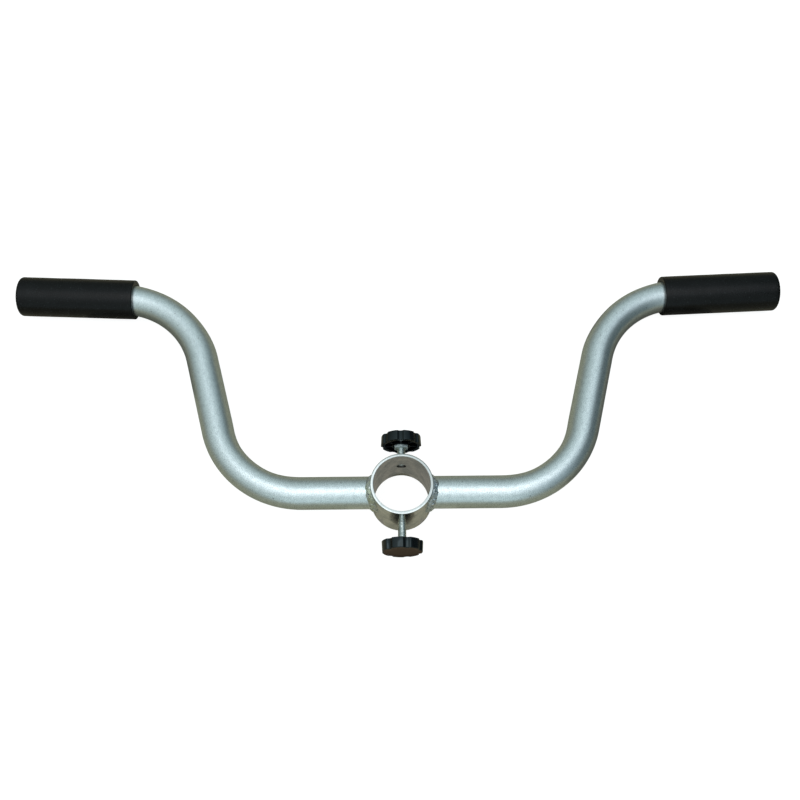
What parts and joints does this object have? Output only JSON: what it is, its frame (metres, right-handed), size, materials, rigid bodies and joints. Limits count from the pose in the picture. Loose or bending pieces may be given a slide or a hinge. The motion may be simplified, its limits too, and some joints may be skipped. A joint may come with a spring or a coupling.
{
  "type": "tow bar handlebar",
  "caption": "Two-handed handlebar for a tow bar: a collar that slides over the bar's shaft and is clamped by thumb screws, with bent tube arms ending in closed rubber grips.",
  "frame": {"origin": "centre of the collar's bore, at its mid-length", "axes": "+Z along the collar's bore, +X towards the right grip, +Y towards the side on which both grips lie"},
  "size_m": [0.7972, 0.3005, 0.056],
  "materials": {
    "collar_steel": "machined and zinc plated, satin to glossy",
    "arm_paint": "silver, fine mottled grain, semi-gloss",
    "weld_bead": "lumpy fillet bead under silver paint",
    "grip_rubber": "matt, fine moulded grain",
    "zinc_stud": "bright zinc plate, rolled thread",
    "zinc_nut": "bright zinc plate",
    "insert_brass": "turned, knurled",
    "knob_plastic": "glossy moulded plastic"
  },
  "bodies": {
    "handlebar": {"collar": "collar_steel", "arm_left": "arm_paint", "arm_right": "arm_paint", "weld_left": "weld_bead", "weld_right": "weld_bead", "grip_left": "grip_rubber", "grip_right": "grip_rubber"},
    "far_feed": {"far_insert": "insert_brass"},
    "far_screw": {"far_knob": "knob_plastic", "far_stud": "zinc_stud", "far_jam_nut": "zinc_nut"},
    "near_feed": {"near_insert": "insert_brass"},
    "near_screw": {"near_knob": "knob_plastic", "near_stud": "zinc_stud", "near_jam_nut": "zinc_nut"}
  },
  "joints": [
    {"name": "far_screw_feed", "type": "slide", "parent": "handlebar", "child": "far_feed", "axis": [0, -1, 0], "range_m": [-0.0021, 0.0121]},
    {"name": "far_screw_turn", "type": "hinge", "parent": "far_feed", "child": "far_screw", "pos_m": [0, 0.03, 0], "axis": [0, -1, 0], "range_deg": [-576, 3456]},
    {"name": "near_screw_feed", "type": "slide", "parent": "handlebar", "child": "near_feed", "axis": [0, 1, 0], "range_m": [-0.0021, 0.0121]},
    {"name": "near_screw_turn", "type": "hinge", "parent": "near_feed", "child": "near_screw", "pos_m": [0, -0.03, 0], "axis": [0, 1, 0], "range_deg": [-576, 3456]}
  ],
  "couplings": [
    {"joint": "far_screw_feed", "follows": "far_screw_turn", "m_per_rad": 0.00019894},
    {"joint": "near_screw_feed", "follows": "near_screw_turn", "m_per_rad": 0.00019894}
  ]
}
